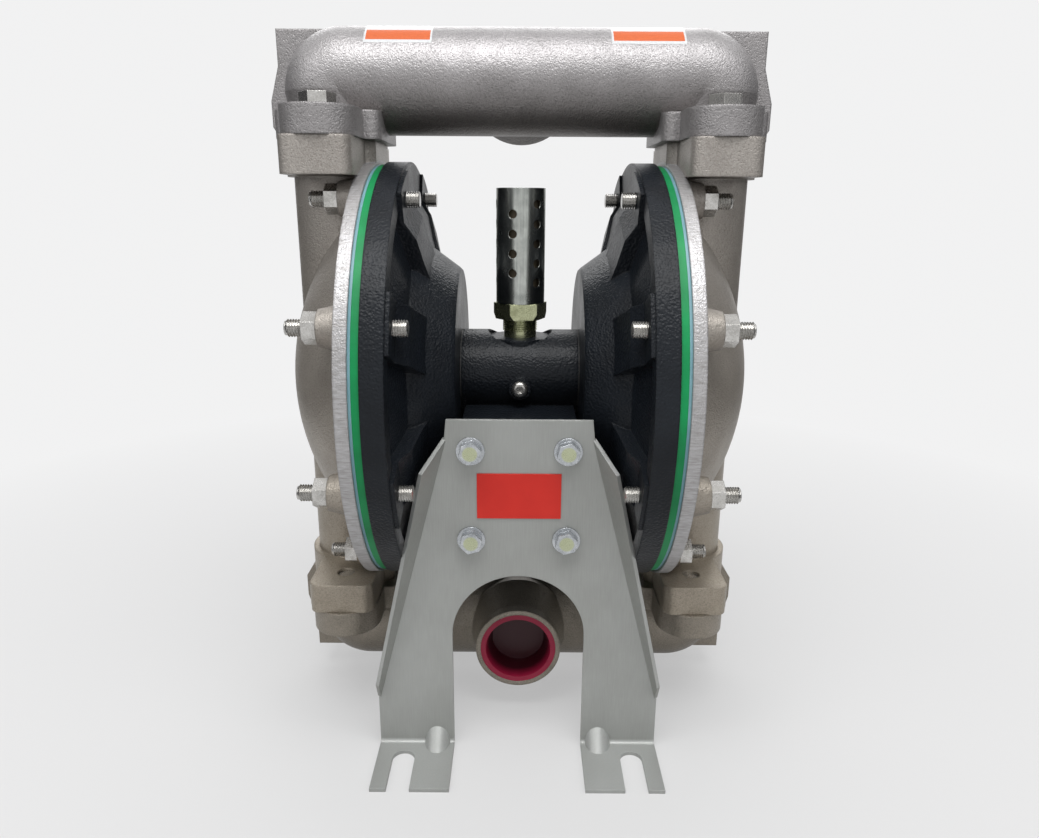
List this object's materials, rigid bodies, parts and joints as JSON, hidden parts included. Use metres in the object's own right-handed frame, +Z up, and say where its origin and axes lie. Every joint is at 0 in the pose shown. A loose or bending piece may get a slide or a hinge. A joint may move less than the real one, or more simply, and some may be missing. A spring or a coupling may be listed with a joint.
{
  "type": "air operated diaphragm pump",
  "caption": "Air operated double diaphragm pump with cast manifolds, ball checks, stamped legs and a perforated silencer.",
  "frame": {"origin": "on the floor under the middle of the pump", "axes": "+X along the diaphragm shaft to the right hand chamber, +Y from the inlet port side to the outlet port side, +Z up"},
  "size_m": [0.386, 0.334, 0.5553],
  "materials": {
    "cast_steel": "bead blasted cast stainless steel",
    "painted_casting": "semi gloss blue-black paint over a cast surface",
    "painted_aluminium": "dark painted aluminium",
    "zinc_steel": "bright zinc plate",
    "yellow_zinc": "yellow zinc plate",
    "leg_steel": "satin grey",
    "green_rubber": "satin",
    "white_ptfe": "satin",
    "black_rubber": "matt",
    "bronze": "sintered",
    "plastic_white": "matt",
    "red_plastic": "gloss",
    "plate_red": "printed",
    "ground_steel": "ground"
  },
  "bodies": {
    "casing": {"air_cap_left": "painted_casting", "air_cap_right": "painted_casting", "cap_gaskets": "black_rubber", "cap_nuts_left": "zinc_steel", "cap_nuts_right": "zinc_steel", "cap_screws": "zinc_steel", "cap_studs_left": "zinc_steel", "cap_studs_right": "zinc_steel", "centre_body": "painted_casting", "cover_gaskets": "black_rubber", "diaphragm_left": "green_rubber", "diaphragm_overlay_left": "white_ptfe", "diaphragm_overlay_right": "white_ptfe", "diaphragm_right": "green_rubber", "fluid_cap_left": "cast_steel", "fluid_cap_right": "cast_steel", "inlet_bolts": "zinc_steel", "inlet_manifold": "cast_steel", "inlet_plug": "red_plastic", "inlet_seat_left": "ground_steel", "inlet_seat_right": "ground_steel", "leg_bolts_front": "yellow_zinc", "leg_bolts_rear": "yellow_zinc", "leg_front": "leg_steel", "leg_rear": "leg_steel", "name_plate": "plate_red", "outlet_bolts": "zinc_steel", "outlet_manifold": "cast_steel", "outlet_seat_left": "ground_steel", "outlet_seat_right": "ground_steel", "pilot_sleeves": "bronze", "plug_screw": "zinc_steel", "seat_seals": "plastic_white", "shaft_bushes": "bronze", "shaft_cups": "black_rubber", "silencer_base": "yellow_zinc", "silencer_cap": "yellow_zinc", "silencer_element": "bronze", "silencer_tube": "yellow_zinc", "valve_cover_front": "painted_casting", "valve_cover_rear": "painted_casting", "valve_sleeve": "ground_steel"},
    "shaft_assembly": {"shaft": "ground_steel", "shaft_bolts": "zinc_steel", "inner_plate_right": "zinc_steel", "inner_plate_left": "zinc_steel", "outer_plate_right": "cast_steel", "outer_plate_left": "cast_steel"},
    "main_valve": {"valve_spool": "painted_aluminium", "spool_rings": "black_rubber"},
    "pilot": {"pilot_rod": "ground_steel"},
    "outlet_ball_left": {"outlet_ball_left": "white_ptfe"},
    "outlet_ball_right": {"outlet_ball_right": "white_ptfe"},
    "inlet_ball_left": {"inlet_ball_left": "white_ptfe"},
    "inlet_ball_right": {"inlet_ball_right": "white_ptfe"}
  },
  "joints": [
    {"name": "shaft_slide", "type": "slide", "parent": "casing", "child": "shaft_assembly", "axis": [1, 0, 0], "range_m": [-0.017, 0.017], "deforming": ["diaphragm_right", "diaphragm_left", "diaphragm_overlay_right", "diaphragm_overlay_left"]},
    {"name": "pilot_slide", "type": "slide", "parent": "casing", "child": "pilot", "axis": [1, 0, 0], "range_m": [-0.004, 0.004]},
    {"name": "main_valve_slide", "type": "slide", "parent": "casing", "child": "main_valve", "axis": [0, 1, 0], "range_m": [0, 0.014]},
    {"name": "outlet_ball_left_lift", "type": "slide", "parent": "casing", "child": "outlet_ball_left", "axis": [0, 0, 1], "range_m": [0, 0.012]},
    {"name": "outlet_ball_right_lift", "type": "slide", "parent": "casing", "child": "outlet_ball_right", "axis": [0, 0, 1], "range_m": [0, 0.012]},
    {"name": "inlet_ball_left_lift", "type": "slide", "parent": "casing", "child": "inlet_ball_left", "axis": [0, 0, 1], "range_m": [0, 0.012]},
    {"name": "inlet_ball_right_lift", "type": "slide", "parent": "casing", "child": "inlet_ball_right", "axis": [0, 0, 1], "range_m": [0, 0.012]}
  ],
  "couplings": [
    {"joint": "pilot_slide", "follows": "shaft_slide", "ratio": 0.23529}
  ]
}
